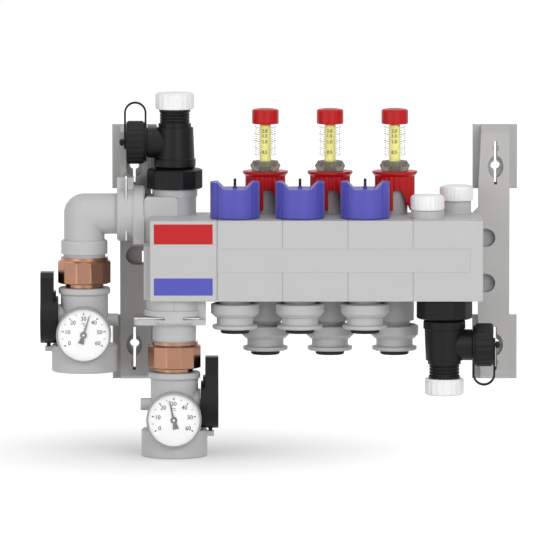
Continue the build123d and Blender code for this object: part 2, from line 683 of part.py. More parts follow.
# Ball valves, each built about its ball's centre with the lever on the left
def valve_body():
    """Moulded body with its bore, thermometer seat, spindle boss and blank boss."""
    body = turned((0, VALVE_FOOT), (VALVE_FOOT_R - 0.8, VALVE_FOOT),
                  (VALVE_FOOT_R, VALVE_FOOT + 0.8), (VALVE_FOOT_R, VALVE_FOOT_TOP - 0.8),
                  (VALVE_FOOT_R - 0.8, VALVE_FOOT_TOP), (VALVE_R, VALVE_FOOT_TOP),
                  (VALVE_R, VALVE_TOP - VALVE_RIM - 1.6), (VALVE_RIM_R, VALVE_TOP - VALVE_RIM),
                  (VALVE_RIM_R, VALVE_TOP - 0.8), (VALVE_RIM_R - 0.8, VALVE_TOP), (0, VALVE_TOP))
    body += Rot(0, 90, 0) * rod(SPINDLE_BOSS_R, -LEVER_AIR, 0)
    body += Rot(0, 90, 0) * rod(BLANK_BOSS_R, 0, BLANK_BOSS)
    body += Pos(0, 0, -DIAL_DROP) * Rot(90, 0, 0) * rod(CASE_R / 2, 0, CASE_BACK)
    stop = VALVE_FOOT_TOP - 1.6
    body += box(-LEVER_FACE - 10, -LEVER_FACE, -4, 4, stop - 3.6, stop)
    body -= Pos(0, 0, -DIAL_DROP) * Rot(90, 0, 0) * rod(CASE_R + REST_FIT, CASE_BACK,
                                                        CASE_BACK + CASE_DEPTH)
    chamber_top = seat_face() + SEAT_THICK
    body -= rod(PORT_R, VALVE_FOOT, VALVE_FOOT_TOP - 1)
    body -= rod(BALL_ROOM_R, VALVE_FOOT_TOP - 1, chamber_top)
    body -= rod(BALL_BORE_R, chamber_top, VALVE_TOP)
    body -= rod(TAIL_R - 2 + REST_FIT, chamber_top + 4, VALVE_TOP)
    return body - Rot(0, 90, 0) * rod(SPINDLE_R + TURN_FIT, -LEVER_FACE, 0)


def seat_face():
    """Height at which a flat ring round the bore just clears the ball."""
    return (BALL_R ** 2 - BALL_BORE_R ** 2) ** 0.5 + SEAT_GAP


def ball_stem():
    """Bored ball with its spindle, which ends in the lever's hub."""
    ball = Sphere(BALL_R) - rod(BALL_BORE_R, -BALL_R, BALL_R)
    spindle = Rot(0, 90, 0) * rod(SPINDLE_R, -LEVER_FACE - LEVER_THICK / 2, -BALL_BORE_R - 1.5)
    return ball + spindle


def seat_rings():
    upper = rod(BALL_ROOM_R - REST_FIT, seat_face(), seat_face() + SEAT_THICK)
    lower = rod(BALL_ROOM_R - REST_FIT, VALVE_FOOT_TOP - 1, -seat_face())
    bore = rod(BALL_BORE_R, VALVE_FOOT, VALVE_TOP)
    return [upper - bore, lower - bore]


def lever():
    """Round hub and a short arm that points along the pipe when open."""
    outer = -LEVER_FACE - LEVER_THICK
    hub = Rot(0, 90, 0) * rod(LEVER_HUB_R, outer, -LEVER_FACE)
    half = LEVER_WIDTH / 2
    arm_outline = Plane.YZ * make_face(Polyline((-LEVER_HUB_R + 1, 0), (LEVER_HUB_R - 1, 0),
                                                (half, LEVER_HUB_R), (half - 1, LEVER_REACH - 4),
                                                (half - 4, LEVER_REACH), (4 - half, LEVER_REACH),
                                                (1 - half, LEVER_REACH - 4), (-half, LEVER_HUB_R),
                                                close=True))
    arm = Pos(outer, 0, 0) * extrude(arm_outline, LEVER_ARM_THICK)
    shoulder = box(outer, -CASE_R - 2 * AIR, -SHOULDER_HALF, SHOULDER_HALF, 0, SHOULDER_TOP)
    nib = box(-29.2, -26.2, -2.5, 2.5, -NIB_FOOT, 0)
    grip = Pos(outer, 0, 0) * Rot(0, 90, 0) * Cylinder(LEVER_HUB_R / 2, 2.4)
    bore = Rot(0, 90, 0) * rod(SPINDLE_R + REST_FIT, -LEVER_FACE - LEVER_THICK / 2, -LEVER_FACE)
    return hub + arm + shoulder + nib - grip - bore


def union_nut():
    piece = nut(UNION_R, UNION_BORE_R, UNION_FOOT, UNION_TOP, 1.6)
    lip = rod(UNION_R - 2, UNION_FOOT, UNION_FOOT + 3) - rod(TAIL_R + REST_FIT, UNION_FOOT,
                                                             UNION_FOOT + 3)
    return piece + lip


def tail_piece():
    """Brass tail between the union nut and the valve."""
    return turned((BALL_BORE_R, VALVE_TOP - 6), (TAIL_R - 2, VALVE_TOP - 6),
                  (TAIL_R - 2, VALVE_TOP), (TAIL_R, VALVE_TOP), (TAIL_R, UNION_FOOT + 3),
                  (UNION_BORE_R - REST_FIT, UNION_FOOT + 3 + REST_FIT),
                  (UNION_BORE_R - REST_FIT, UNION_FOOT + 6), (BALL_BORE_R, UNION_FOOT + 6))


# Thermometers, built about the dial's centre, facing the room
def facing(radius, near, far):
    """A round piece on the dial's axis between two distances from the valve's axis."""
    return Rot(90, 0, 0) * rod(radius, near, far)


def thermometer_case():
    front = CASE_BACK + CASE_DEPTH
    case = Rot(90, 0, 0) * turned((0, CASE_BACK), (CASE_R - 1, CASE_BACK), (CASE_R, CASE_BACK + 1),
                                  (CASE_R, front - 1), (CASE_R - 1, front), (0, front))
    return case - facing(DIAL_R + REST_FIT, front - POCKET, front)


def dial():
    floor = CASE_BACK + CASE_DEPTH - POCKET
    pin = facing(POINTER_HUB_R / 3, floor, floor + DIAL_THICK + AIR + POINTER_THICK)
    return facing(DIAL_R, floor, floor + DIAL_THICK) + pin


def dial_glass():
    front = CASE_BACK + CASE_DEPTH - AIR
    return facing(DIAL_R, front - GLASS_THICK, front)


def pointer(reading):
    """Flat pointer with a round hub and a broad tail, turned to its reading."""
    face = CASE_BACK + CASE_DEPTH - POCKET + DIAL_THICK + AIR
    tail = POINTER_TAIL_HALF
    outline = make_face(Polyline((-0.35, POINTER_REACH), (0.35, POINTER_REACH), (0.8, 0),
                                 (tail, -POINTER_TAIL), (-tail, -POINTER_TAIL), (-0.8, 0),
                                 close=True))
    needle = Pos(0, -face, 0) * extrude(Plane.XZ * outline, POINTER_THICK)
    needle += facing(POINTER_HUB_R, face, face + POINTER_THICK)
    needle -= facing(POINTER_HUB_R / 3 + TURN_FIT, face, face + POINTER_THICK)
    return Rot(0, reading, 0) * needle


# Fill and drain valves, built upwards from their seat with the branch to the left
def drain_nut():
    return nut(DRAIN_NUT_R, DRAIN_FLARE_R - 4, 0, DRAIN_NUT, 2.4)


def drain_body():
    """Turned body with a threaded neck and a hose branch."""
    bore_r = DRAIN_FLARE_R - 4 - REST_FIT
    start = 4.0
    ridges = []
    for n in range(3):
        z = DRAIN_STEP + 1.2 + 2.4 * n
        ridges += [(DRAIN_NECK_R, z), (DRAIN_NECK_R + 0.6, z + 0.6), (DRAIN_NECK_R, z + 1.2)]
    body = turned((DRAIN_STUD_R + REST_FIT, start), (bore_r, start), (bore_r, DRAIN_NUT),
                  (DRAIN_FLARE_R - 1.5, DRAIN_NUT + AIR), (DRAIN_FLARE_R, DRAIN_NUT + 2),
                  (DRAIN_FLARE_R, DRAIN_FLARE), (DRAIN_BODY_R, DRAIN_FLARE + 0.5),
                  (DRAIN_BODY_TIP_R, DRAIN_BODY), (DRAIN_STEP_R, DRAIN_BODY),
                  (DRAIN_STEP_R, DRAIN_STEP), (DRAIN_NECK_R, DRAIN_STEP), *ridges,
                  (DRAIN_NECK_R, DRAIN_NECK - 2.6), (DRAIN_LIP_R, DRAIN_NECK - 1.6),
                  (DRAIN_LIP_R, DRAIN_NECK), (DRAIN_STUD_R, DRAIN_NECK),
                  (DRAIN_STUD_R, DRAIN_NECK + KNOB_HEIGHT / 2), (0, DRAIN_NECK + KNOB_HEIGHT / 2),
                  (0, DRAIN_NUT + AIR), (DRAIN_STUD_R + REST_FIT, DRAIN_NUT + AIR))
    near = HOSE_CAP_NEAR - STRAP_THICK - AIR
    cap_end = HOSE_CAP_NEAR + HOSE_CAP_LENGTH
    branch = rod(BRANCH_R, 0, HOSE_CAP_NEAR - AIR)
    branch += rod(HOSE_THREAD_R, 0, cap_end - 3)
    branch += rod(BRANCH_R + 0.9, 0, near - AIR)
    return body + Pos(0, 0, BRANCH_AT) * Rot(0, -90, 0) * branch


def drain_knob():
    """White ribbed knob on the end of the neck."""
    z0 = DRAIN_NECK + AIR
    z1 = z0 + KNOB_HEIGHT
    knob = ribbed(KNOB_R, 0.5, 20, z0 + 1, z1 - 1)
    knob += turned((0, z0), (KNOB_R - 0.5, z0), (KNOB_R - 0.5, z1 - 1), (KNOB_R - 1.5, z1),
                   (0, z1))
    return knob - rod(DRAIN_STUD_R + TURN_FIT, z0, DRAIN_NECK + KNOB_HEIGHT / 2 + AIR)


def hose_cap():
    """Ribbed cap on the branch, with the button that holds its strap."""
    z0 = HOSE_CAP_NEAR
    z1 = HOSE_CAP_NEAR + HOSE_CAP_LENGTH
    cap = ribbed(HOSE_CAP_R, 0.7, 22, z0 + 1.2, z1 - 1.2)
    cap += rod(HOSE_CAP_R - 0.7, z0, z1)
    stem_end = z1 + STRAP_THICK + 2 * AIR
    cap += rod(BUTTON_STEM_R, z1, stem_end)
    cap += turned((0, stem_end), (BUTTON_R, stem_end), (BUTTON_R, stem_end + BUTTON_THICK - 1),
                  (BUTTON_R - 1, stem_end + BUTTON_THICK), (0, stem_end + BUTTON_THICK))
    cap -= rod(HOSE_THREAD_R + TURN_FIT, z0, z1 - 2.6)
    return Pos(0, 0, BRANCH_AT) * Rot(0, -90, 0) * cap


def cap_strap():
    """Moulded strap: a ring round the branch, a loop over the cap and an eye."""
    ring_x0 = HOSE_CAP_NEAR - AIR / 2 - STRAP_THICK
    ring_x1 = ring_x0 + STRAP_THICK
    eye_x0 = HOSE_CAP_NEAR + HOSE_CAP_LENGTH + AIR
    eye_x1 = eye_x0 + STRAP_THICK
    outer = (eye_x1 - ring_x0) / 2
    middle = (eye_x1 + ring_x0) / 2
    bend = STRAP_RISE - outer
    loop = Pos(middle, 0, bend) * Rot(90, 0, 0) * (
        Cylinder(outer, STRAP_WIDTH) - Cylinder(outer - STRAP_THICK, STRAP_WIDTH))
    loop -= box(ring_x0 - 1, eye_x1 + 1, -STRAP_WIDTH, STRAP_WIDTH, 0, bend)
    loop += box(ring_x0, ring_x1, -STRAP_WIDTH / 2, STRAP_WIDTH / 2, BRANCH_R + 1, bend)
    loop += box(eye_x0, eye_x1, -STRAP_WIDTH / 2, STRAP_WIDTH / 2, 0, bend)
    loop += Rot(0, 90, 0) * rod(STRAP_RING_R, ring_x0, ring_x1)
    loop += Rot(0, 90, 0) * rod(STRAP_EYE_R, eye_x0, eye_x1)
    loop -= Rot(0, 90, 0) * rod(BRANCH_R + REST_FIT, ring_x0 - 1, ring_x1 + 1)
    loop -= Rot(0, 90, 0) * rod(BUTTON_STEM_R + AIR, eye_x0 - 1, eye_x1 + 1)
    return Pos(0, 0, BRANCH_AT) * Rot(0, 0, 180) * loop


# Air vents
def vent_body(radius, rise):
    """Vent with a sunk stud below and its cap's stud above."""
    top = BLOCK_TOP + rise
    return turned((0, BLOCK_TOP - INSERT_SINK), (VENT_STUD_R, BLOCK_TOP - INSERT_SINK),
                  (VENT_STUD_R, BLOCK_TOP), (radius, BLOCK_TOP), (radius, top - 0.6),
                  (radius - 0.6, top), (VENT_STUD_R, top), (VENT_STUD_R, top + 7), (0, top + 7))


def vent_cap(rise):
    z0 = BLOCK_TOP + rise + AIR
    z1 = z0 + VENT_CAP_HEIGHT
    cap = ribbed(VENT_CAP_R, 0.4, 26, z0 + 1, z1 - 1.8)
    inner = VENT_CAP_R - 0.4
    cap += turned((0, z0), (inner, z0), (inner, z1 - 1.8), (inner - 0.6, z1 - 0.6),
                  (inner - 2, z1), (0, z1))
    return cap - rod(VENT_STUD_R + TURN_FIT, z0, BLOCK_TOP + rise + 7 + AIR)


# Wall brackets, built for the right side about the screws' line
def bracket(d_centres, d_end):
    front = BRACKET_FRONT
    rail = rail_block(0.0, front) - rail_block(RAIL_WALL, front + RAIL_WALL)
    rail += foot_plate(FOOT_UPPER) + foot_plate(FOOT_LOWER)
    for way in (1, -1):
        rail += Pos(0, 0, way * SCREW_HALF_Z) * oval(RING_HALF_X, RING_HALF_Z, front, 0)
    for way in (1, -1):
        rail -= keyhole(way, front)
    rail += saddle()
    for z in d_centres:
        rail += Pos(0, 0, z) * d_shape(d_end + RAIL_WALL, D_HEIGHT + 2 * RAIL_WALL,
                                       front, front + D_DEPTH + RAIL_WALL)
        rail -= Pos(0, 0, z) * d_shape(d_end, D_HEIGHT, front, front + D_DEPTH)
    return Pos(SCREW_HALF_X, 0, 0) * rail


def keyhole(way, front):
    """Oval pocket, screw hole and slit, with a shallow notch across the slit."""
    z = way * SCREW_HALF_Z
    pocket = oval(RING_HALF_X - RING_WALL, RING_HALF_Z - RING_WALL, front, front + POCKET_DEPTH)
    pocket += Rot(90, 0, 0) * rod(SCREW_HOLE_R, 0, -front)
    ends = sorted((-way * SLIT_INWARD, way * SLIT_OUTWARD))
    pocket += box(-SLIT_WIDTH / 2, SLIT_WIDTH / 2, front, 0, *ends)
    notch = sorted((way * NOTCH_AT, way * (NOTCH_AT + NOTCH_LENGTH)))
    pocket += box(-NOTCH_HALF, NOTCH_HALF, front, front + RAIL_WALL / 2, *notch)
    return Pos(0, 0, z) * pocket


def rail_block(wall, front):
    """Channel outline from the front, with its ends sloped back to the wall."""
    inner = wall - RAIL_INNER
    outer = RAIL_OUTER - wall
    low = FOOT_LOWER - FOOT_HEIGHT / 2 + wall
    high = FOOT_UPPER + FOOT_HEIGHT / 2 - wall
    straight = SCREW_HALF_Z - FOOT_HEIGHT / 4
    face = make_face(Polyline((inner + RAIL_TAPER, low), (outer, low), (outer, high),
                              (inner + RAIL_TAPER, high), (inner, straight), (inner, -straight),
                              close=True))
    rail = extrude(Plane.XZ * face, -front)
    side = make_face(Polyline((0, low), (0, high), (-FOOT_THICK, high),
                              (front, high - RAIL_SLOPE), (front, low + RAIL_SLOPE),
                              (-FOOT_THICK, low), close=True))
    return rail & Pos(-RAIL_INNER, 0, 0) * extrude(Plane.YZ * side, RAIL_INNER + RAIL_OUTER)


def foot_plate(centre):
    """Flange on the wall behind one end of the rail."""
    plate = box(-FOOT_WIDTH / 2, FOOT_WIDTH / 2, -FOOT_THICK, 0, centre - FOOT_HEIGHT / 2,
                centre + FOOT_HEIGHT / 2)
    return chamfer(plate.faces().sort_by(Axis.Y)[0].edges(), 0.8)


def oval(half_x, half_z, y0, y1):
    return Pos(0, y1, 0) * extrude(Plane.XZ * Ellipse(half_x, half_z), y1 - y0)


def saddle():
    """Tongue behind the block, flared where it leaves the rail."""
    top = BLOCK_TOP - 2
    foot = BLOCK_FOOT + 2
    start = 1 - RAIL_INNER
    end = -RAIL_INNER - SADDLE_REACH
    outline = make_face(Polyline((start, foot - SADDLE_FLARE), (-RAIL_INNER, foot - SADDLE_FLARE),
                                 (-RAIL_INNER - SADDLE_FLARE, foot), (end, foot), (end, top),
                                 (-RAIL_INNER - SADDLE_FLARE, top),
                                 (-RAIL_INNER, top + SADDLE_FLARE), (start, top + SADDLE_FLARE),
                                 close=True))
    thick = SADDLE_THICK + RAIL_WALL
    return Pos(0, BACK_Y + thick, 0) * extrude(Plane.XZ * outline, thick)


def d_shape(end, height, y0, y1):
    """Recess that is round on its outer side and runs out under the block."""
    radius = height / 2
    inner = end - D_WIDTH - (height - D_HEIGHT) / 2
    inner = max(inner, -RAIL_INNER)
    flat = Pos((inner + end - radius) / 2, 0) * Rectangle(end - radius - inner, height)
    face = flat + Pos(end - radius, 0) * Circle(radius)
    return Pos(0, y1, 0) * extrude(Plane.XZ * face, y1 - y0)


# Everything in its place, one entry per piece
def build():
    nodes = {}
    nodes["left_end_block"] = left_end_block()
    for n in range(CIRCUITS):
        nodes[f"circuit_module_{n + 1}"] = circuit_module(n)
    nodes["right_end_block"] = right_end_block()
    nodes["cover_strip"] = cover_strip()
    nodes["label_plate"] = label_plate()
    nodes["supply_label"] = label_field(BLOCK_TOP - RED_DROP, RED_HEIGHT)
    nodes["return_label"] = label_field(BLOCK_FOOT + BLUE_RISE + BLUE_HEIGHT, BLUE_HEIGHT)
    nodes["bracket_right"] = bracket(D_RIGHT, D_RIGHT_END)
    x0, x1, z0, z1 = WINDOW_LEFT
    window = box(SCREW_HALF_X + x0, SCREW_HALF_X + x1, BRACKET_FRONT, 0, z0, z1)
    nodes["bracket_left"] = (bracket(D_LEFT, D_LEFT_END) - window).mirror(Plane.YZ)
    add_circuits(nodes)
    add_connections(nodes)
    add_drains(nodes)
    front = (VENT_FRONT_X, RETURN_Y)
    back = (VENT_BACK_X, SUPPLY_Y)
    nodes["vent_bodies"] = at_all([front], vent_body(VENT_FRONT_R, VENT_FRONT_RISE)) \
        + at_all([back], vent_body(VENT_BACK_R, VENT_BACK_RISE))
    nodes["vent_cap_front"] = Pos(*front, 0) * vent_cap(VENT_FRONT_RISE)
    nodes["vent_cap_back"] = Pos(*back, 0) * vent_cap(VENT_BACK_RISE)
    return nodes


def add_circuits(nodes):
    for n in range(CIRCUITS):
        x, y = RETURNS[n]
        nodes[f"return_cap_{n + 1}"] = Pos(x, y, 0) * return_cap()
        nodes[f"valve_stem_{n + 1}"] = Pos(x, y, 0) * valve_stem()
        x, y = SUPPLIES[n]
        nodes[f"flow_wheel_{n + 1}"] = Pos(x, y, 0) * flow_wheel()
        nodes[f"flow_float_{n + 1}"] = Pos(x, y, 0) * flow_float()
    nodes["valve_inserts"] = at_all(RETURNS, valve_insert())
    nodes["flow_inserts"] = at_all(SUPPLIES, flow_insert())
    nodes["sight_glass_nuts"] = at_all(SUPPLIES, meter_nut())
    nodes["sight_glasses"] = at_all(SUPPLIES, sight_glass())
    nodes["sight_glass_caps"] = at_all(SUPPLIES, meter_cap())
    for name, make in (("outlet_nipples", outlet_nipple), ("outlet_cups", outlet_cup),
                       ("outlet_seals", outlet_seal)):
        nodes[name] = at_all(RETURNS, make(BLOCK_FOOT)) \
            + at_all(SUPPLIES, make(BLOCK_FOOT - SUPPLY_DROP))


def add_connections(nodes):
    nodes["supply_elbow"] = supply_elbow()
    nodes["supply_tee"] = supply_tee()
    nodes["return_connector"] = return_connector()
    supply = Pos(ELBOW_X, SUPPLY_Y, BALL_SUPPLY_Z)
    returned = Pos(TEE_X, RETURN_Y, BALL_RETURN_Z)
    drop = Pos(0, 0, -DIAL_DROP)
    pieces = (("ball_valve", valve_body()), ("ball_stem", ball_stem()), ("lever", lever()))
    for name, shape in pieces:
        nodes[f"{name}_supply"] = supply * shape
        nodes[f"{name}_return"] = returned * shape.mirror(Plane.YZ)
    nodes["valve_seats"] = [place * ring for place in (supply, returned) for ring in seat_rings()]
    nodes["union_nuts"] = [place * union_nut() for place in (supply, returned)]
    nodes["tail_pieces"] = [place * tail_piece() for place in (supply, returned)]
    nodes["thermometer_cases"] = [place * drop * thermometer_case()
                                  for place in (supply, returned)]
    nodes["thermometer_dials"] = [place * drop * dial() for place in (supply, returned)]
    nodes["thermometer_glasses"] = [place * drop * dial_glass() for place in (supply, returned)]
    nodes["pointer_supply"] = supply * drop * pointer(SUPPLY_READING)
    nodes["pointer_return"] = returned * drop * pointer(RETURN_READING)
    nodes["fork_clips"] = [clip_place_supply() * fork_clip(), clip_place_return() * fork_clip()]


def add_drains(nodes):
    upper = Pos(TEE_X, SUPPLY_Y, TEE_TOP)
    lower = Pos(DRAIN_BOTTOM_X, RETURN_Y, BLOCK_FOOT) * Rot(0, 180, 0)
    nodes["drain_nuts"] = [place * drain_nut() for place in (upper, lower)]
    nodes["cap_straps"] = [place * cap_strap() for place in (upper, lower)]
    for name, place in (("top", upper), ("bottom", lower)):
        nodes[f"drain_body_{name}"] = place * drain_body()
        nodes[f"drain_knob_{name}"] = place * drain_knob()
        nodes[f"hose_cap_{name}"] = place * hose_cap()


os.makedirs("parts", exist_ok=True)
for name, shape in build().items():
    if isinstance(shape, list):
        shape = Compound(children=shape)
    export_step(shape, f"parts/{name}.step")
    print(f"{name}: {shape.volume:.0f} mm3")
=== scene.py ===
# %% [markdown]
# # A heating manifold on its two wall brackets
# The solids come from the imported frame. This lesson dresses them: each solid gets a smooth
# skin and a finish, and small things such as dial marks are modelled on top.

# %% Frame, tools and units
import json
import math
import bpy
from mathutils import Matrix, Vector

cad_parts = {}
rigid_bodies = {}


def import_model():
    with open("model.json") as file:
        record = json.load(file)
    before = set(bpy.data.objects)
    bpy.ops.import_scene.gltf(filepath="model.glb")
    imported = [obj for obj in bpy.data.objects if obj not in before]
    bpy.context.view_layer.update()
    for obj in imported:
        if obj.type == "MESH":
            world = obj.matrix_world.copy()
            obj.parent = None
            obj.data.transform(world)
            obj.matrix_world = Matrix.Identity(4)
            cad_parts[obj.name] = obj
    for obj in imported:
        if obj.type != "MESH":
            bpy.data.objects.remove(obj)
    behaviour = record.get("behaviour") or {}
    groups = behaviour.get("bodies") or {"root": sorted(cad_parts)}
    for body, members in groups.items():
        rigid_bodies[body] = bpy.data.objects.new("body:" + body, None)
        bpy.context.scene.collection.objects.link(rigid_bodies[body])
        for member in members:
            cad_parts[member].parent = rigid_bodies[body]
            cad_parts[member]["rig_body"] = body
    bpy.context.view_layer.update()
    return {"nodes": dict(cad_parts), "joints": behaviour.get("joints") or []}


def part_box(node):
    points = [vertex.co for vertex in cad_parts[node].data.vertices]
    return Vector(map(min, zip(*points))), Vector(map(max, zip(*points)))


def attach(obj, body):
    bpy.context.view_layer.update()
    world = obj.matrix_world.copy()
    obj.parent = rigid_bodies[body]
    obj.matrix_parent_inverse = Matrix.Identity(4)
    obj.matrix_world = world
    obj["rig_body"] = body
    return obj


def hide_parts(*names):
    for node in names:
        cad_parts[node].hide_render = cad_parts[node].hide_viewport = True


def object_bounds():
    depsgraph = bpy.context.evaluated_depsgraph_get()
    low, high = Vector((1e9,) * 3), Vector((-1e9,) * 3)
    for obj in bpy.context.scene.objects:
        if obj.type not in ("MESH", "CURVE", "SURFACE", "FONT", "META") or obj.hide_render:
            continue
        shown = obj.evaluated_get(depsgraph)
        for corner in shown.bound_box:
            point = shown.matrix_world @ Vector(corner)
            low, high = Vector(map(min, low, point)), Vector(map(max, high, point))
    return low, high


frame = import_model()
MM = 0.001          # one millimetre in Blender's metres

# %% [markdown]
# Colours are written as sRGB hex, the way a paint card gives them, and Blender wants linear
# light. One function turns one into the other.

# %% Colour
def paint(hex_code):
    """An sRGB hex colour as Blender's linear colour."""
    parts = [int(hex_code[i:i + 2], 16) / 255 for i in (0, 2, 4)]
    linear = [p / 12.92 if p <= 0.04045 else ((p + 0.055) / 1.055) ** 2.4 for p in parts]
    return (*linear, 1.0)

WHITE = (1, 1, 1, 1)
print("a middle grey in linear light:", round(paint("808080")[0], 3))

# %% [markdown]
# A material is a net of nodes. By hand a node is added, set and then linked; one function
# does the three, so that each net below reads as a short list.

# %% One function for every node
def add(tree, kind, links=None, **settings):
    """Adds a shader node; settings are its properties or sockets, links feed its sockets."""
    node = tree.nodes.new("ShaderNode" + kind)
    for key, value in settings.items():
        socket = next((s for s in node.inputs if s.name.replace(" ", "_") == key), None)
        if socket is not None:
            socket.default_value = value
        else:
            setattr(node, key, value)
    for key, source in (links or {}).items():
        tree.links.new(source, node.inputs[key])
    return node

def new_material(name):
    """A new material, its node tree and its Principled shader."""
    material = bpy.data.materials.new(name)
    material.use_nodes = True
    return material, material.node_tree, material.node_tree.nodes["Principled BSDF"]

# %% [markdown]
# Most of the manifold is injection moulded. A mould leaves a very fine spark-eroded grain,
# edges with a small radius, and a colour that clouds a little where the melt flowed. The
# Bevel node rounds the shading at the edges without a single extra face. The real grain is
# under 0.1 mm and would never show, so it is drawn about six times as coarse.

# %% Moulded plastic
CLOUD_SIZE = 25                       # millimetres across one cloud of the colour
BEVEL_SAMPLES = 4
SHINIER, DULLER = 0.06, 0.08          # how far the grain moves the roughness
MIX_A, MIX_B, MIX_OUT = 6, 7, 2       # the Mix node's colour sockets

def moulded(name, colour, rough, grain=0.6, depth=0.05, cloud=0.03, edge=0.35, ior=1.5):
    """A moulded plastic; grain, depth and edge are in millimetres."""
    material, tree, shader = new_material(name)
    place = add(tree, "TexCoord")
    flow = add(tree, "TexNoise", {"Vector": place.outputs["Object"]},
               Scale=1 / (CLOUD_SIZE * MM), Detail=3.0)
    base = paint(colour)
    dark = tuple(c * (1 - cloud * 2) for c in base[:3]) + (1.0,)
    tint = add(tree, "Mix", {"Factor": flow.outputs["Fac"]}, data_type="RGBA")
    tint.inputs[MIX_A].default_value = dark
    tint.inputs[MIX_B].default_value = base
    tree.links.new(tint.outputs[MIX_OUT], shader.inputs["Base Color"])
    skin = add(tree, "TexNoise", {"Vector": place.outputs["Object"]},
               Scale=1 / (grain * MM), Detail=2.0)
    gloss = add(tree, "MapRange", {"Value": skin.outputs["Fac"]},
                To_Min=rough - SHINIER, To_Max=rough + DULLER)
    tree.links.new(gloss.outputs["Result"], shader.inputs["Roughness"])
    corner = add(tree, "Bevel", samples=BEVEL_SAMPLES, Radius=edge * MM)
    bump = add(tree, "Bump", {"Height": skin.outputs["Fac"],
                              "Normal": corner.outputs["Normal"]},
               Strength=0.35, Distance=depth * MM)
    tree.links.new(bump.outputs["Normal"], shader.inputs["Normal"])
    shader.inputs["IOR"].default_value = ior
    return material

# %% [markdown]
# One recipe gives every moulding. Glass fibre makes the nylon greyer and rougher than the
# ABS beside it, and rubber is the roughest of all. In the soft, even light of the picture
# the strong colours look deep, so their IOR is a little under the usual 1.5.

# %% The moulded finishes
# Glass-filled nylon: pale grey and satin, with its grain just visible.
grey = moulded("glass_filled_nylon_grey", "c2c2c2", 0.5, depth=0.06)
# The pipe fittings are the same nylon from a smoother mould; the brackets' is a little darker.
fitting_grey = moulded("nylon_fitting_grey", "c1c1c1", 0.46, depth=0.05)
bracket_grey = moulded("nylon_bracket_grey", "b9b8b7", 0.5, depth=0.05)
# The dials' cases are ABS and smoother. Their grey is partly their own and partly painted
# shade: it is darker than their own grey, so it stands for the shadow line round each dial.
case_grey_and_painted_shade = moulded("abs_case_grey", "a6a6a6", 0.42, depth=0.03)
# ABS hand caps, plain blue with a soft shine.
blue = moulded("abs_blue", "5856b6", 0.4, depth=0.03, ior=1.35)
# The ABS wheels and the caps of the sight glasses, a deep red with a clearer shine.
red = moulded("abs_red", "bf1217", 0.32, depth=0.02, ior=1.34)
# Nylon with black glass fibre: almost no colour of its own, and a soft sheen.
black = moulded("glass_filled_nylon_black", "131313", 0.4, depth=0.05, ior=1.31)
# White polypropylene knobs and caps, smooth and a little waxy.
white = moulded("polypropylene_white", "f3f3f2", 0.38, depth=0.03, cloud=0.01)
# EPDM rubber, matt and black.
rubber = moulded("epdm_rubber_black", "161616", 0.72, grain=0.4, depth=0.04)
# The yellow acetal float, a smooth moulding.
yellow = moulded("acetal_yellow", "f4ef8c", 0.35, depth=0.01, cloud=0.02)
# PTFE seats, white and waxy.
ptfe = moulded("ptfe_white", "ededea", 0.4, depth=0.02)
print("moulded finishes made, materials in all:", len(bpy.data.materials))

# %% [markdown]
# Print is a thin film of ink, flatter and smoother than the moulding round it. The same
# recipe gives it with a finer grain, hardly any depth and a small edge.

# %% Printed and painted finishes
# The label's fields: ink on foil, flat and even.
red_ink = moulded("printed_foil_red", "c42527", 0.45, grain=0.3, depth=0.01, edge=0.1,
                  ior=1.3)
blue_ink = moulded("printed_foil_blue", "595bba", 0.45, grain=0.3, depth=0.01, edge=0.1,
                   ior=1.3)
# The dials: white enamel on sheet, the smoothest of the white pieces.
dial_white = moulded("enamelled_dial_white", "fafafa", 0.35, grain=0.3, depth=0.005,
                     cloud=0.01)
# Screen printing ink, grey on the dials and darker on the sight glasses.
ink_grey = moulded("printing_ink_grey", "6a6a6a", 0.5, grain=0.3, depth=0.0, edge=0.05)
ink_black = moulded("printing_ink_black", "2e2e2e", 0.5, grain=0.3, depth=0.0, edge=0.05)
# The pointers: lacquered sheet aluminium, so the lacquer's grey shows and no metal.
pointer_grey = moulded("lacquered_aluminium_grey", "7d7d7d", 0.4, grain=0.3, depth=0.0,
                       edge=0.1)
print("printed finishes made, materials in all:", len(bpy.data.materials))

# %% [markdown]
# The union nuts are turned brass with a coppery plating. A lathe leaves rings round the
# axis, so bands along Z that are 0.3 mm apart bend the highlights and vary the roughness;
# real marks are finer and would blur away. A Wave texture of scale 1 repeats every 2 pi / 20
# of a metre, which turns a spacing into a scale.

# %% Turned metals
WAVE_REPEAT = math.tau / 20
RIDGE, GROOVE = 0.05, 0.07            # how far the marks move the roughness
METAL_EDGE = 0.4                      # millimetres
MARK_DEPTH = 0.02

def turned_metal(name, colour, rough, pitch):
    """A turned metal whose tool marks are pitch millimetres apart along Z."""
    material, tree, shader = new_material(name)
    shader.inputs["Base Color"].default_value = paint(colour)
    shader.inputs["Metallic"].default_value = 1.0
    place = add(tree, "TexCoord")
    rings = add(tree, "TexWave", {"Vector": place.outputs["Object"]}, bands_direction="Z",
                Scale=WAVE_REPEAT / (pitch * MM), Distortion=0.4, Detail=1.0)
    gloss = add(tree, "MapRange", {"Value": rings.outputs["Fac"]}, To_Min=rough - RIDGE,
                To_Max=rough + GROOVE)
    tree.links.new(gloss.outputs["Result"], shader.inputs["Roughness"])
    corner = add(tree, "Bevel", samples=BEVEL_SAMPLES, Radius=METAL_EDGE * MM)
    bump = add(tree, "Bump", {"Height": rings.outputs["Fac"],
                              "Normal": corner.outputs["Normal"]},
               Strength=0.25, Distance=MARK_DEPTH * MM)
    tree.links.new(bump.outputs["Normal"], shader.inputs["Normal"])
    return material

# Coppery brass: warm, bright on its edges and darker where it mirrors the room.
brass = turned_metal("turned_brass_coppery", "ae826c", 0.22, 0.3)
# Spring steel wire and the stainless pins, drawn and a little dull.
steel = turned_metal("stainless_steel_drawn", "dcdcde", 0.3, 0.4)
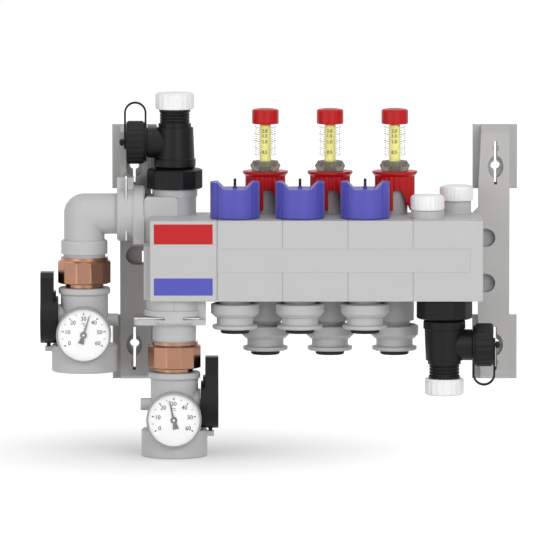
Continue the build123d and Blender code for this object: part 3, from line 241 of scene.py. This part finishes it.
# The valve pins are steel too, blackened against rust.
dark_steel = turned_metal("blackened_steel_pin", "3a3a3a", 0.38, 0.3)
print("metals:", [m.name for m in (brass, steel, dark_steel)])

# %% [markdown]
# The sight glasses are clear polycarbonate, and the nuts below them are the same plastic
# with smoke-grey dye. Transmission lets the light through; the dye is the base colour. The
# tubes are thin, so a low IOR keeps them from bending the scale and the float behind it.

# %% Clear plastics
THIN_IOR = 1.2
RIPPLE = 6              # millimetres from one faint flow wave to the next
RIPPLE_DEPTH = 0.05

def clear(name, colour, rough, through=1.0):
    """A see-through plastic with faint flow waves in its surface."""
    material, tree, shader = new_material(name)
    shader.inputs["Base Color"].default_value = paint(colour)
    shader.inputs["Transmission Weight"].default_value = through
    shader.inputs["Roughness"].default_value = rough
    shader.inputs["IOR"].default_value = THIN_IOR
    place = add(tree, "TexCoord")
    waves = add(tree, "TexNoise", {"Vector": place.outputs["Object"]},
                Scale=1 / (RIPPLE * MM), Detail=1.0)
    bump = add(tree, "Bump", {"Height": waves.outputs["Fac"]}, Strength=0.1,
               Distance=RIPPLE_DEPTH * MM)
    tree.links.new(bump.outputs["Normal"], shader.inputs["Normal"])
    return material

clear_plastic = clear("polycarbonate_clear", "ffffff", 0.02)
smoked = clear("polycarbonate_smoked", "a5a298", 0.1, through=0.65)
print("clear plastics:", clear_plastic.name, smoked.name)

# %% [markdown]
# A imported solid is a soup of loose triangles. A copy of it is merged, so that neighbouring
# faces share their corners, and is then shaded smooth up to an angle: round walls look
# round, and real edges stay crisp. A finer mesh would do it too, but at the cost of many
# faces. The copy then stands for the solid.

# %% A smooth skin for a solid
SMOOTH_ANGLE = math.radians(32)       # flatter edges than this are shaded round
MERGE = 0.002                         # millimetres within which corners are one

def only(piece):
    """Makes piece the one selected, active object."""
    bpy.ops.object.select_all(action="DESELECT")
    piece.select_set(True)
    bpy.context.view_layer.objects.active = piece

def skin(node, material):
    """A merged, smoothly shaded copy of a solid that rides on the same body."""
    source = frame["nodes"][node]
    piece = bpy.data.objects.new("skin_" + node, source.data.copy())
    bpy.context.scene.collection.objects.link(piece)
    only(piece)
    bpy.ops.object.mode_set(mode="EDIT")
    bpy.ops.mesh.select_all(action="SELECT")
    bpy.ops.mesh.remove_doubles(threshold=MERGE * MM)
    bpy.ops.object.mode_set(mode="OBJECT")
    bpy.ops.mesh.customdata_custom_splitnormals_clear()
    bpy.ops.object.shade_smooth_by_angle(angle=SMOOTH_ANGLE)
    piece.data.materials.clear()
    piece.data.materials.append(material)
    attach(piece, source["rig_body"])
    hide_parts(node)
    return piece

# %% [markdown]
# Every solid gets its skin from one table of solids and finishes, so a change of finish is
# a change of one word. What comes once for each circuit is added in a loop.

# %% Which solid gets which finish
finishes = {
    "left_end_block": grey, "circuit_module_1": grey, "circuit_module_2": grey,
    "circuit_module_3": grey, "right_end_block": grey, "cover_strip": grey,
    "label_plate": grey, "supply_label": red_ink, "return_label": blue_ink,
    "bracket_left": bracket_grey, "bracket_right": bracket_grey,
    "supply_elbow": fitting_grey, "supply_tee": fitting_grey,
    "return_connector": fitting_grey, "fork_clips": steel, "union_nuts": brass,
    "tail_pieces": brass, "ball_valve_supply": fitting_grey,
    "ball_valve_return": fitting_grey, "ball_stem_supply": brass, "ball_stem_return": brass,
    "valve_seats": ptfe, "lever_supply": black, "lever_return": black,
    "thermometer_cases": case_grey_and_painted_shade, "thermometer_dials": dial_white,
    "thermometer_glasses": clear_plastic, "pointer_supply": pointer_grey,
    "pointer_return": pointer_grey, "drain_nuts": black, "drain_body_top": black,
    "drain_body_bottom": black, "drain_knob_top": white, "drain_knob_bottom": white,
    "hose_cap_top": black, "hose_cap_bottom": black, "cap_straps": black,
    "vent_bodies": fitting_grey, "vent_cap_front": white, "vent_cap_back": white,
    "valve_inserts": fitting_grey, "flow_inserts": fitting_grey,
    "sight_glass_nuts": smoked, "sight_glasses": clear_plastic, "sight_glass_caps": red,
    "outlet_nipples": fitting_grey, "outlet_cups": fitting_grey, "outlet_seals": rubber,
}
CIRCUITS = (1, 2, 3)
for n in CIRCUITS:
    finishes[f"return_cap_{n}"] = blue
    finishes[f"valve_stem_{n}"] = dark_steel
    finishes[f"flow_wheel_{n}"] = red
    finishes[f"flow_float_{n}"] = yellow
skins = {node: skin(node, material) for node, material in finishes.items()}
print("skins:", len(skins), "left plain:", sorted(set(frame["nodes"]) - set(skins)))

# %% [markdown]
# A union nut is turned down at its top: a short chamfer leads from the flats to a round
# crown. A Bevel modifier would round all edges alike, so each nut is cut across twice and
# the corners above the cuts are drawn in, which is the form that a lathe tool leaves.

# %% The crowns of the union nuts
CROWN_R = 18.4          # all in millimetres
CROWN_RISE = 2.0
CHAMFER_RISE = 1.5
BELOW_CUT = 0.1         # reaches a little under the cut, to catch the corners on it

def crown(piece, x_from, x_to):
    """Turns down the top of the nut whose corners lie between two x values."""
    corners = [v.co for v in piece.data.vertices if x_from < v.co.x < x_to]
    top = max(c.z for c in corners)
    x = (min(c.x for c in corners) + max(c.x for c in corners)) / 2
    y = (min(c.y for c in corners) + max(c.y for c in corners)) / 2
    only(piece)
    bpy.ops.object.mode_set(mode="EDIT")
    for drop in (CROWN_RISE + CHAMFER_RISE, CROWN_RISE):
        bpy.ops.mesh.select_all(action="SELECT")
        bpy.ops.mesh.bisect(plane_co=(0, 0, top - drop * MM), plane_no=(0, 0, 1))
    bpy.ops.object.mode_set(mode="OBJECT")
    moved = 0
    for v in piece.data.vertices:
        reach = math.hypot(v.co.x - x, v.co.y - y)
        if (x_from < v.co.x < x_to and v.co.z > top - (CROWN_RISE + BELOW_CUT) * MM
                and reach > CROWN_R * MM):
            v.co.x = x + (v.co.x - x) * CROWN_R * MM / reach
            v.co.y = y + (v.co.y - y) * CROWN_R * MM / reach
            moved += 1
    bpy.ops.object.shade_smooth_by_angle(angle=SMOOTH_ANGLE)
    return moved

nuts = skins["union_nuts"]
low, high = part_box("union_nuts")
middle = (low.x + high.x) / 2
print("crown corners moved:", crown(nuts, low.x - MM, middle), crown(nuts, middle, high.x + MM))

# %% [markdown]
# A thermometer's dial is printed: a number at every 10 degrees, a stroke beside it, and a
# smaller stroke halfway. A picture on the dial would be quicker, but modelled print stays
# sharp from any distance. Text is set flat, made a mesh, and stood up before the dial.

# %% Lettering
UPRIGHT = math.radians(90)    # turns flat print to face the room
TEXT_STEPS = 3                # straight steps in each curve of a letter
TEXT_THICK = 0.04             # millimetres; a film as thin as real ink would flicker

def printed(text, size, x, y, z, name, bold):
    """Flat lettering that faces the room, its middle at a place in millimetres."""
    bpy.ops.object.select_all(action="DESELECT")
    bpy.ops.object.text_add(location=(0, 0, 0))
    words = bpy.context.object
    words.data.body = text
    words.data.size = size * MM
    words.data.align_x = "CENTER"
    words.data.align_y = "CENTER"
    words.data.extrude = TEXT_THICK / 2 * MM
    words.data.offset = bold * MM
    words.data.resolution_u = TEXT_STEPS
    words.name = name
    bpy.ops.object.convert(target="MESH")
    words = bpy.context.object
    words.data.materials.clear()
    words.data.materials.append(ink_grey)
    words.rotation_euler = (UPRIGHT, 0, 0)
    words.location = (x * MM, y * MM, z * MM)
    only(words)
    bpy.ops.object.transform_apply(location=True, rotation=True, scale=True)
    return words

# %% Strokes
STROKE_THICK = 0.03           # millimetres

def stroke(x, y, z, radius, length, width, turn, name):
    """A printed stroke, radius from a centre and turned clockwise by degrees."""
    bpy.ops.object.select_all(action="DESELECT")
    bpy.ops.mesh.primitive_plane_add(size=1, location=(0, 0, 0))
    mark = bpy.context.object
    mark.name = name
    mark.scale = (width * MM, length * MM, 1)
    bpy.ops.object.transform_apply(location=False, rotation=False, scale=True)
    bpy.ops.object.mode_set(mode="EDIT")
    bpy.ops.mesh.extrude_region_move(
        TRANSFORM_OT_translate={"value": (0, 0, STROKE_THICK * MM)})
    bpy.ops.mesh.select_all(action="SELECT")
    bpy.ops.mesh.normals_make_consistent(inside=False)
    bpy.ops.object.mode_set(mode="OBJECT")
    angle = math.radians(turn)
    mark.rotation_euler = (UPRIGHT, angle, 0)
    mark.location = ((x + radius * math.sin(angle)) * MM, y * MM,
                     (z + radius * math.cos(angle)) * MM)
    only(mark)
    bpy.ops.object.transform_apply(location=True, rotation=True, scale=True)
    mark.data.materials.append(ink_grey)
    return mark

# %% [markdown]
# The dials' middles are where the pointers turn, so they come from the frame's joints and
# nothing is measured twice.

# %% Where the dials are
POINTER_GAP = 0.4             # millimetres between a pointer's back and its dial

def dial_centres():
    """The two dial faces, left to right: middle x and z, and the face's y, in millimetres."""
    found = []
    for node in ("pointer_supply", "pointer_return"):
        joint = next(j for j in frame["joints"] if j["child"] == node)
        x, _, z = (value / MM for value in joint["pos_m"])
        low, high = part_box(node)
        found.append((x, high.y / MM + POINTER_GAP, z))
    return found

dials = dial_centres()
print("dials:", [tuple(round(v, 1) for v in d) for d in dials])

# %% [markdown]
# The scale runs from 0 to 60 degrees over two thirds of a turn, with 30 at the top. Each
# mark is placed by its angle, which is how a dial is drawn.

# %% Numbers and strokes of the dials
NUMBER_R = 12.6               # millimetres, as are the sizes below
STROKE_R = 16.3
NUMBER_SIZE = 4.4
UNIT_SIZE = 3.2
UNIT_RISE = 8.2
NUMBER_BOLD = 0.1             # how much wider each line of a digit is drawn
UNIT_BOLD = 0.06
NUMBER_OUT = 0.05             # how far before the dial the print lies
STROKE_OUT = 0.03
TEN_STROKE = (1.6, 1.0)       # length and width
HALF_STROKE = (1.2, 0.5)
NUMBERS = 7
TOP_NUMBER = 3                # the number at the top of the dial, counted from 0
DEGREES_PER_TEN = 40          # of the dial's turn

marks = []
for side, (x, y, z) in zip(("supply", "return"), dials):
    for step in range(NUMBERS):
        turn = (step - TOP_NUMBER) * DEGREES_PER_TEN
        angle = math.radians(turn)
        marks.append(printed(str(step * 10), NUMBER_SIZE, x + NUMBER_R * math.sin(angle),
                             y - NUMBER_OUT, z + NUMBER_R * math.cos(angle),
                             f"number_{side}_{step}", NUMBER_BOLD))
        marks.append(stroke(x, y - STROKE_OUT, z, STROKE_R, *TEN_STROKE, turn,
                            f"stroke_{side}_{step}"))
    for step in range(NUMBERS - 1):
        turn = (step - TOP_NUMBER + 0.5) * DEGREES_PER_TEN
        marks.append(stroke(x, y - STROKE_OUT, z, STROKE_R, *HALF_STROKE, turn,
                            f"half_{side}_{step}"))
    marks.append(printed("°C", UNIT_SIZE, x, y - NUMBER_OUT, z + UNIT_RISE, f"unit_{side}",
                         UNIT_BOLD))
print("dial marks:", len(marks))

# %% [markdown]
# All the print of the dials has one ink and rides on one body. Joined into one piece it is
# easier to move, repaint and export than forty small ones.

# %% Joining the dials' print
def join(parts, name, body):
    """Makes several pieces one that rides on a body."""
    only(parts[0])
    for part in parts:
        part.select_set(True)
    bpy.ops.object.join()
    whole = bpy.context.object
    whole.name = name
    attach(whole, body)
    return whole

dial_print = join(marks, "dial_print", "manifold")
print("dial print corners:", len(dial_print.data.vertices))

# %% [markdown]
# Each sight glass carries a flow scale: numbers before the float, and strokes on both sides.
# The print is set flat and then wrapped onto the tube, each corner keeping its height. A
# picture cast onto the tube would stretch at the sides, and wrapped print doesn't.

# %% Wrapping print onto a tube
GLASS_R = 9.0                 # millimetres
PRINT_OUT = 0.02              # how far outside the glass the print lies
PRINT_R = GLASS_R + PRINT_OUT

def wrap(piece, x, y):
    """Moves flat print back onto a tube's front about the vertical axis at x, y."""
    for corner in piece.data.vertices:
        out = corner.co.y - y * MM + PRINT_R * MM
        angle = (corner.co.x - x * MM) / (PRINT_R * MM)
        reach = PRINT_R * MM - out
        corner.co.x = x * MM + reach * math.sin(angle)
        corner.co.y = y * MM - reach * math.cos(angle)
    return piece

# %% Flow scales
# Each number with its height; all the sizes are in millimetres.
FLOW_NUMBERS = (("2.0", 99.0), ("1.5", 95.2), ("1.0", 90.6), ("0.5", 82.6))
FLOW_SIZE = 3.5
FLOW_BOLD = 0.08
FLOW_SHIFT = -0.5             # the numbers stand a little left of the middle
LINES = 13
LINE_START = 80.4
LINE_PITCH = 1.75
LONG_LINE, SHORT_LINE = 3.0, 1.6      # every third line is long
INNER_COLUMN = (4.6, 0.0, 0.45)       # from the middle, raised by, line thickness
OUTER_COLUMN = (7.6, 0.6, 0.6)

scales = []
for n in CIRCUITS:
    low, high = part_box(f"flow_float_{n}")
    x = (low.x + high.x) / 2 / MM
    y = (low.y + high.y) / 2 / MM
    front = y - GLASS_R - PRINT_OUT
    for row, (text, z) in enumerate(FLOW_NUMBERS):
        scales.append(wrap(printed(text, FLOW_SIZE, x + FLOW_SHIFT, front, z,
                                   f"flow_number_{n}_{row}", FLOW_BOLD), x, y))
    for k in range(LINES):
        z = LINE_START + LINE_PITCH * k
        width = LONG_LINE if k % 3 == 0 else SHORT_LINE
        for side in (-1, 1):
            for column, (away, rise, thick) in (("line", INNER_COLUMN),
                                                ("edge", OUTER_COLUMN)):
                mark = stroke(x + side * (away + width / 2), front, z + rise, 0, thick,
                              width, 0, f"flow_{column}_{n}_{k}_{side}")
                scales.append(wrap(mark, x, y))
flow_print = join(scales, "flow_scale_print", "manifold")
flow_print.data.materials[0] = ink_black
print("flow scale corners:", len(flow_print.data.vertices))

# %% [markdown]
# The picture is a product photograph: a white surround, soft light from all sides with a
# little more from above, and a faint shadow on a pale floor. The lens is long, so upright
# lines stay parallel.

# %% Camera
LOOK_AT = Vector((-26.98, -60.0, -15.6)) * MM
DISTANCE = 6.0                # metres
ELEVATION = math.radians(5.5)
FRAME_WIDTH = 432.3 * MM      # what the picture spans at LOOK_AT
SENSOR = 36                   # millimetres
FAR_END = 100                 # metres

bpy.ops.object.camera_add()
camera = bpy.context.object
camera.location = LOOK_AT + Vector((0, -math.cos(ELEVATION), math.sin(ELEVATION))) * DISTANCE
camera.rotation_euler = (UPRIGHT - ELEVATION, 0, 0)
camera.data.sensor_width = SENSOR
camera.data.lens = SENSOR * DISTANCE / FRAME_WIDTH
camera.data.clip_end = FAR_END
bpy.context.scene.camera = camera
print("lens:", round(camera.data.lens), "mm")

# %% [markdown]
# The floor is white paper that glows a little, as paper lit from behind does, for the camera
# and for what is seen through glass or mirrored in metal. It glows less the nearer it is to the
# foot of the manifold. This paints a shadow there, which darkens the floor on top of the real
# soft shadow.

# %% Floor
FLOOR_SIZE = 8                # metres
floor_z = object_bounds()[0][2]
bpy.ops.object.select_all(action="DESELECT")
bpy.ops.mesh.primitive_plane_add(size=FLOOR_SIZE, location=(0, 0, floor_z))
floor = bpy.context.object
floor.name = "floor"
print("floor at", round(floor_z / MM, 1), "mm")

# %% Paper
paper, tree, shader = new_material("studio_paper_white")
shader.inputs["Base Color"].default_value = paint("f4f4f4")
shader.inputs["Roughness"].default_value = 0.9
floor.data.materials.append(paper)
print("the floor is", paper.name)

# %% Where the paper glows, and where the glow paints a shadow
FOOT = (-108 * MM, -60 * MM, 0)       # where the manifold comes nearest to the floor
PAINTED_SHADOW_REACH = 250 * MM                       # how far from the foot the full glow is reached
GLOW_IN_PAINTED_SHADOW = 0.1                      # the share of the glow at the foot

place = add(tree, "TexCoord")
away = add(tree, "VectorMath", {0: place.outputs["Object"]}, operation="DISTANCE")
away.inputs[1].default_value = FOOT
# The glow fades towards the foot, which paints a shadow on the floor there.
painted_shadow_fade = add(tree, "MapRange", {"Value": away.outputs["Value"]}, From_Min=0.0, From_Max=PAINTED_SHADOW_REACH,
           To_Min=GLOW_IN_PAINTED_SHADOW, To_Max=1.0)
print("full glow from", round(PAINTED_SHADOW_REACH / MM), "mm on")

# %% Who sees the glow
PAPER_GLOW = 1.15

path = add(tree, "LightPath")
direct = add(tree, "Math", {0: path.outputs["Is Camera Ray"],
                            1: path.outputs["Is Transmission Ray"]}, operation="MAXIMUM")
looks = add(tree, "Math", {0: direct.outputs[0], 1: path.outputs["Is Glossy Ray"]},
            operation="MAXIMUM")
share = add(tree, "Math", {0: looks.outputs[0], 1: painted_shadow_fade.outputs["Result"]},
            operation="MULTIPLY")
glow = add(tree, "Emission", Color=WHITE, Strength=PAPER_GLOW)
blend = add(tree, "MixShader", {0: share.outputs[0], 1: shader.outputs[0],
                                2: glow.outputs[0]})
tree.links.new(blend.outputs[0], tree.nodes["Material Output"].inputs["Surface"])
print("paper nodes:", len(tree.nodes))

# %% [markdown]
# The room is evenly bright. In reflections its ceiling is brighter and its far wall is as
# white as the camera sees it. That puts a highlight on every upper edge and a pale rim on
# metal, and leaves the flat tops as soft as they are.

# %% World
world = bpy.data.worlds.new("studio")
bpy.context.scene.world = world
world.use_nodes = True
tree = world.node_tree
light = tree.nodes["Background"]
light.inputs["Color"].default_value = WHITE
print("world:", world.name)

# %% What reflections see
ROOM = 0.54                   # the light that falls on the manifold from all sides
CEILING = 0.9                 # what reflections see on top of that, above
WALL = 0.46                   # and behind, where both together make white

sky = add(tree, "TexCoord")
facing = add(tree, "SeparateXYZ", {0: sky.outputs["Generated"]})
ceiling = add(tree, "MapRange", {"Value": facing.outputs["Z"]}, From_Min=0.25, From_Max=0.8,
              To_Min=0.0, To_Max=CEILING)
wall = add(tree, "MapRange", {"Value": facing.outputs["Y"]}, From_Min=0.2, From_Max=0.6,
           To_Min=0.0, To_Max=WALL)
path = add(tree, "LightPath")
brighter = add(tree, "Math", {0: ceiling.outputs["Result"], 1: wall.outputs["Result"]},
               operation="MAXIMUM")
mirrored = add(tree, "Math", {0: brighter.outputs[0], 1: path.outputs["Is Glossy Ray"]},
               operation="MULTIPLY")
total = add(tree, "Math", {0: mirrored.outputs[0]}, operation="ADD")
total.inputs[1].default_value = ROOM
tree.links.new(total.outputs[0], light.inputs["Strength"])
print("the far wall mirrors as", round(ROOM + WALL, 2))

# %% What the camera sees
seen = add(tree, "Background", Color=WHITE, Strength=1.0)
direct = add(tree, "Math", {0: path.outputs["Is Camera Ray"],
                            1: path.outputs["Is Transmission Ray"]}, operation="MAXIMUM")
mix = add(tree, "MixShader", {0: direct.outputs[0], 1: light.outputs[0], 2: seen.outputs[0]})
tree.links.new(mix.outputs[0], tree.nodes["World Output"].inputs["Surface"])
print("world nodes:", len(tree.nodes))

# %% [markdown]
# Three large lamps give the soft light a direction: one from the right, a weaker one from
# the left, and a faint one above. A large lamp near by gives soft shadows, as a softbox does.

# %% Lamps
SOFTBOXES = (                 # name, place and size in metres, power in watts
    ("key", (0.8, -2.2, 0.7), 1.2, 18),
    ("fill", (-1.4, -1.6, 0.1), 1.2, 9),
    ("top", (0.2, -0.6, 1.6), 1.0, 3),
)
for name, place, size, power in SOFTBOXES:
    bpy.ops.object.light_add(type="AREA", location=place)
    lamp = bpy.context.object
    lamp.name = name
    lamp.data.energy = power
    lamp.data.size = size
    aim = LOOK_AT - Vector(place)
    lamp.rotation_euler = aim.to_track_quat("-Z", "Y").to_euler()
print("lamps:", [row[0] for row in SOFTBOXES])

# %% [markdown]
# Last, the colours are shown as they are, with Blender's Standard view transform.

# %% View transform
bpy.context.scene.view_settings.view_transform = "Standard"
